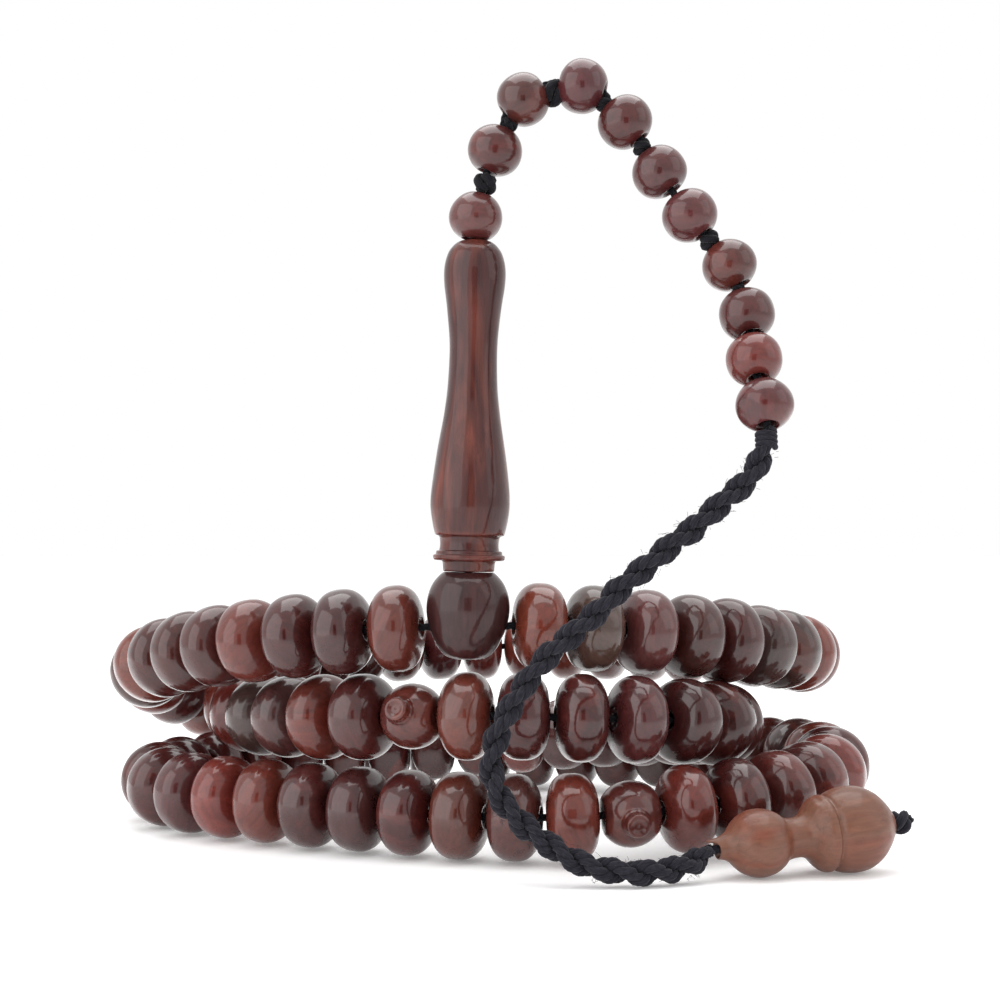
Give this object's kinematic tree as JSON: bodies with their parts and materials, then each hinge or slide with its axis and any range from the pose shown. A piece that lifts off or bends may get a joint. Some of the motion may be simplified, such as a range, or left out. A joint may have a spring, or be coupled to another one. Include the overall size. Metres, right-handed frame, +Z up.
{
  "type": "misbaha prayer bead string",
  "caption": "Prayer bead string coiled in three turns, with a turned upright imam, a knotted string of small counter beads, a braided tail and a gourd-shaped end bead.",
  "frame": {"origin": "on the surface that the coil lies on, near the middle of the coil", "axes": "+Z up; the imam and the braided tail are at the front, -Y; the end bead is at +X"},
  "size_m": [0.1043, 0.0996, 0.096],
  "materials": {
    "bead_wood": "lacquered dark red-brown wood, glossy",
    "counter_wood": "lacquered dusty pink-brown wood, glossy",
    "imam_wood": "turned streaky brown-red wood, lacquered",
    "end_wood": "turned orange-brown wood, satin",
    "cord": "black waxed thread",
    "braid": "black braided cord, matt"
  },
  "bodies": {
    "coil": {"main_cord": "cord", "rear_beads_upper_right": "bead_wood", "rear_beads_upper_left": "bead_wood", "beads_middle_right": "bead_wood", "beads_lower_left": "bead_wood", "beads_lower_right": "bead_wood", "rear_beads_climbing": "bead_wood"},
    "imam_head": {"imam_head": "imam_wood"},
    "imam_shaft": {"imam_shaft": "imam_wood"},
    "counter_string": {"counter_cord": "cord", "spacer_knots": "cord", "head_knot": "cord", "tail_whipping": "braid"},
    "counter_bead_01": {"counter_bead_01": "counter_wood"},
    "counter_bead_02": {"counter_bead_02": "counter_wood"},
    "counter_bead_03": {"counter_bead_03": "counter_wood"},
    "counter_bead_04": {"counter_bead_04": "counter_wood"},
    "counter_bead_05": {"counter_bead_05": "counter_wood"},
    "counter_bead_06": {"counter_bead_06": "counter_wood"},
    "counter_bead_07": {"counter_bead_07": "counter_wood"},
    "counter_bead_08": {"counter_bead_08": "counter_wood"},
    "counter_bead_09": {"counter_bead_09": "counter_wood"},
    "counter_bead_10": {"counter_bead_10": "counter_wood"},
    "counter_bead_11": {"counter_bead_11": "counter_wood"},
    "tail": {"tail_braid": "braid", "end_knot": "braid"},
    "gourd": {"gourd": "end_wood"},
    "marker_1": {"marker_1": "bead_wood"},
    "marker_2": {"marker_2": "bead_wood"},
    "bead_01": {"bead_01": "bead_wood"},
    "bead_02": {"bead_02": "bead_wood"},
    "bead_03": {"bead_03": "bead_wood"},
    "bead_04": {"bead_04": "bead_wood"},
    "bead_05": {"bead_05": "bead_wood"},
    "bead_06": {"bead_06": "bead_wood"},
    "bead_07": {"bead_07": "bead_wood"},
    "bead_08": {"bead_08": "bead_wood"},
    "bead_09": {"bead_09": "bead_wood"},
    "bead_10": {"bead_10": "bead_wood"},
    "bead_31": {"bead_31": "bead_wood"},
    "bead_32": {"bead_32": "bead_wood"},
    "bead_33": {"bead_33": "bead_wood"},
    "bead_34": {"bead_34": "bead_wood"},
    "bead_35": {"bead_35": "bead_wood"},
    "bead_36": {"bead_36": "bead_wood"},
    "bead_64": {"bead_64": "bead_wood"},
    "bead_65": {"bead_65": "bead_wood"},
    "bead_66": {"bead_66": "bead_wood"},
    "bead_67": {"bead_67": "bead_wood"},
    "bead_68": {"bead_68": "bead_wood"},
    "bead_69": {"bead_69": "bead_wood"},
    "bead_83": {"bead_83": "bead_wood"},
    "bead_92": {"bead_92": "bead_wood"},
    "bead_93": {"bead_93": "bead_wood"},
    "bead_94": {"bead_94": "bead_wood"},
    "bead_95": {"bead_95": "bead_wood"},
    "bead_96": {"bead_96": "bead_wood"},
    "bead_97": {"bead_97": "bead_wood"},
    "bead_98": {"bead_98": "bead_wood"},
    "bead_99": {"bead_99": "bead_wood"}
  },
  "joints": [
    {"name": "imam_tilt", "type": "hinge", "parent": "coil", "child": "imam_head", "pos_m": [-0.0025, -0.034, 0.0282], "axis": [1, 0, 0], "range_deg": [-20, 4]},
    {"name": "imam_spin", "type": "hinge", "parent": "imam_head", "child": "imam_shaft", "pos_m": [-0.0025, -0.034, 0.0282], "axis": [0.0209, 0, 0.9998], "continuous": true},
    {"name": "string_swivel", "type": "hinge", "parent": "imam_head", "child": "counter_string", "pos_m": [-0.0025, -0.034, 0.0282], "axis": [0.0209, 0, 0.9998], "range_deg": [-45, 0]},
    {"name": "tail_swing", "type": "hinge", "parent": "counter_string", "child": "tail", "pos_m": [0.0313, -0.0478, 0.0497], "axis": [1, 0, 0], "range_deg": [-25, 0]},
    {"name": "gourd_spin", "type": "hinge", "parent": "tail", "child": "gourd", "pos_m": [0.0308, -0.0451, 0.00398], "axis": [0.9557, 0.2795, 0.0924], "continuous": true},
    {"name": "marker_1_turn", "type": "hinge", "parent": "coil", "child": "marker_1", "pos_m": [-0.00915, -0.03257, 0.01725], "axis": [0.9234, -0.3814, 0.0441], "range_deg": [-45, 45]},
    {"name": "marker_2_turn", "type": "hinge", "parent": "coil", "child": "marker_2", "pos_m": [0.01687, -0.03631, 0.00601], "axis": [0.9907, 0.1245, 0.0543], "range_deg": [-45, 45]},
    {"name": "counter_bead_01_spin", "type": "hinge", "parent": "counter_string", "child": "counter_bead_01", "pos_m": [-0.0015, -0.034, 0.0773], "axis": [0.2099, 0, 0.9777], "continuous": true},
    {"name": "counter_bead_02_spin", "type": "hinge", "parent": "counter_string", "child": "counter_bead_02", "pos_m": [0.0008, -0.034, 0.0853], "axis": [0.3675, 0.0008, 0.93], "continuous": true},
    {"name": "counter_bead_03_spin", "type": "hinge", "parent": "counter_string", "child": "counter_bead_03", "pos_m": [0.0042, -0.034, 0.0914], "axis": [0.8117, -0.0375, 0.5829], "continuous": true},
    {"name": "counter_bead_04_spin", "type": "hinge", "parent": "counter_string", "child": "counter_bead_04", "pos_m": [0.0113, -0.0345, 0.0928], "axis": [0.9608, -0.1199, -0.2499], "continuous": true},
    {"name": "counter_bead_05_spin", "type": "hinge", "parent": "counter_string", "child": "counter_bead_05", "pos_m": [0.0163, -0.0355, 0.0883], "axis": [0.6402, -0.1063, -0.7609], "continuous": true},
    {"name": "counter_bead_06_spin", "type": "hinge", "parent": "counter_string", "child": "counter_bead_06", "pos_m": [0.0203, -0.036, 0.0823], "axis": [0.5371, -0.145, -0.831], "continuous": true},
    {"name": "counter_bead_07_spin", "type": "hinge", "parent": "counter_string", "child": "counter_bead_07", "pos_m": [0.0238, -0.0375, 0.0768], "axis": [0.5766, -0.1406, -0.8049], "continuous": true},
    {"name": "counter_bead_08_spin", "type": "hinge", "parent": "counter_string", "child": "counter_bead_08", "pos_m": [0.0284, -0.038, 0.0709], "axis": [0.4659, -0.1766, -0.8671], "continuous": true},
    {"name": "counter_bead_09_spin", "type": "hinge", "parent": "counter_string", "child": "counter_bead_09", "pos_m": [0.0302, -0.04, 0.0648], "axis": [0.1636, -0.4025, -0.9007], "continuous": true},
    {"name": "counter_bead_10_spin", "type": "hinge", "parent": "counter_string", "child": "counter_bead_10", "pos_m": [0.0306, -0.0432, 0.0592], "axis": [0.0841, -0.5107, -0.8557], "continuous": true},
    {"name": "counter_bead_11_spin", "type": "hinge", "parent": "counter_string", "child": "counter_bead_11", "pos_m": [0.0313, -0.0465, 0.0538], "axis": [0.0662, -0.434, -0.8985], "continuous": true},
    {"name": "bead_01_spin", "type": "hinge", "parent": "coil", "child": "bead_01", "pos_m": [0.00616, -0.03327, 0.02813], "axis": [0.9849, 0.1702, -0.0309], "continuous": true},
    {"name": "bead_02_spin", "type": "hinge", "parent": "coil", "child": "bead_02", "pos_m": [0.01278, -0.03154, 0.02778], "axis": [0.946, 0.3176, -0.0649], "continuous": true},
    {"name": "bead_03_spin", "type": "hinge", "parent": "coil", "child": "bead_03", "pos_m": [0.01907, -0.0289, 0.02725], "axis": [0.8883, 0.4502, -0.0906], "continuous": true},
    {"name": "bead_04_spin", "type": "hinge", "parent": "coil", "child": "bead_04", "pos_m": [0.02493, -0.02544, 0.02656], "axis": [0.8154, 0.5686, -0.109], "continuous": true},
    {"name": "bead_05_spin", "type": "hinge", "parent": "coil", "child": "bead_05", "pos_m": [0.03026, -0.02124, 0.02578], "axis": [0.728, 0.6749, -0.1206], "continuous": true},
    {"name": "bead_06_spin", "type": "hinge", "parent": "coil", "child": "bead_06", "pos_m": [0.03497, -0.01636, 0.02494], "axis": [0.6274, 0.7685, -0.1254], "continuous": true},
    {"name": "bead_07_spin", "type": "hinge", "parent": "coil", "child": "bead_07", "pos_m": [0.03892, -0.01082, 0.02408], "axis": [0.5005, 0.857, -0.1228], "continuous": true},
    {"name": "bead_08_spin", "type": "hinge", "parent": "coil", "child": "bead_08", "pos_m": [0.04191, -0.00468, 0.02327], "axis": [0.3518, 0.9295, -0.1108], "continuous": true},
    {"name": "bead_09_spin", "type": "hinge", "parent": "coil", "child": "bead_09", "pos_m": [0.04367, 0.00197, 0.02259], "axis": [0.152, 0.9848, -0.0835], "continuous": true},
    {"name": "bead_10_spin", "type": "hinge", "parent": "coil", "child": "bead_10", "pos_m": [0.04387, 0.0089, 0.02215], "axis": [-0.0873, 0.995, -0.0485], "continuous": true},
    {"name": "bead_31_spin", "type": "hinge", "parent": "coil", "child": "bead_31", "pos_m": [-0.02543, -0.02034, 0.01604], "axis": [0.6355, -0.77, 0.0567], "continuous": true},
    {"name": "bead_32_spin", "type": "hinge", "parent": "coil", "child": "bead_32", "pos_m": [-0.02068, -0.02527, 0.01645], "axis": [0.7416, -0.6679, 0.0629], "continuous": true},
    {"name": "bead_33_spin", "type": "hinge", "parent": "coil", "child": "bead_33", "pos_m": [-0.01521, -0.02939, 0.01688], "axis": [0.8427, -0.5351, 0.0594], "continuous": true},
    {"name": "bead_34_spin", "type": "hinge", "parent": "coil", "child": "bead_34", "pos_m": [-0.00262, -0.03471, 0.01747], "axis": [0.9753, -0.2204, 0.0176], "continuous": true},
    {"name": "bead_35_spin", "type": "hinge", "parent": "coil", "child": "bead_35", "pos_m": [0.00421, -0.03564, 0.01747], "axis": [0.9989, -0.0438, -0.0161], "continuous": true},
    {"name": "bead_36_spin", "type": "hinge", "parent": "coil", "child": "bead_36", "pos_m": [0.01108, -0.03539, 0.0173], "axis": [0.9913, 0.1262, -0.0365], "continuous": true},
    {"name": "bead_64_spin", "type": "hinge", "parent": "coil", "child": "bead_64", "pos_m": [-0.00337, -0.03398, 0.00545], "axis": [0.9496, -0.3134, 0.0018], "continuous": true},
    {"name": "bead_65_spin", "type": "hinge", "parent": "coil", "child": "bead_65", "pos_m": [0.00319, -0.03583, 0.0055], "axis": [0.9786, -0.2053, 0.0156], "continuous": true},
    {"name": "bead_66_spin", "type": "hinge", "parent": "coil", "child": "bead_66", "pos_m": [0.01002, -0.03664, 0.00569], "axis": [0.999, -0.0209, 0.0395], "continuous": true},
    {"name": "bead_67_spin", "type": "hinge", "parent": "coil", "child": "bead_67", "pos_m": [0.02357, -0.03482, 0.00643], "axis": [0.9479, 0.3113, 0.0671], "continuous": true},
    {"name": "bead_68_spin", "type": "hinge", "parent": "coil", "child": "bead_68", "pos_m": [0.02988, -0.03209, 0.00692], "axis": [0.8763, 0.4763, 0.0729], "continuous": true},
    {"name": "bead_69_spin", "type": "hinge", "parent": "coil", "child": "bead_69", "pos_m": [0.03553, -0.02814, 0.00743], "axis": [0.7552, 0.6515, 0.0726], "continuous": true},
    {"name": "bead_83_slide", "type": "slide", "parent": "coil", "child": "bead_83", "axis": [-0.9939, 0.029, 0.1061], "range_m": [-0.0029, 0.0029]},
    {"name": "bead_92_spin", "type": "hinge", "parent": "coil", "child": "bead_92", "pos_m": [-0.04619, -0.00343, 0.02164], "axis": [0.3596, -0.9141, 0.1873], "continuous": true},
    {"name": "bead_93_spin", "type": "hinge", "parent": "coil", "child": "bead_93", "pos_m": [-0.04315, -0.00946, 0.02288], "axis": [0.5053, -0.8455, 0.1726], "continuous": true},
    {"name": "bead_94_spin", "type": "hinge", "parent": "coil", "child": "bead_94", "pos_m": [-0.03925, -0.01496, 0.024], "axis": [0.6211, -0.7679, 0.157], "continuous": true},
    {"name": "bead_95_spin", "type": "hinge", "parent": "coil", "child": "bead_95", "pos_m": [-0.03465, -0.01991, 0.02501], "axis": [0.7113, -0.6884, 0.1417], "continuous": true},
    {"name": "bead_96_spin", "type": "hinge", "parent": "coil", "child": "bead_96", "pos_m": [-0.02947, -0.02426, 0.02592], "axis": [0.7916, -0.5981, 0.1252], "continuous": true},
    {"name": "bead_97_spin", "type": "hinge", "parent": "coil", "child": "bead_97", "pos_m": [-0.02378, -0.02795, 0.0267], "axis": [0.8657, -0.4892, 0.106], "continuous": true},
    {"name": "bead_98_spin", "type": "hinge", "parent": "coil", "child": "bead_98", "pos_m": [-0.01764, -0.03088, 0.02736], "axis": [0.9285, -0.3619, 0.0836], "continuous": true},
    {"name": "bead_99_spin", "type": "hinge", "parent": "coil", "child": "bead_99", "pos_m": [-0.01112, -0.03291, 0.02785], "axis": [0.9752, -0.2137, 0.057], "continuous": true}
  ]
}
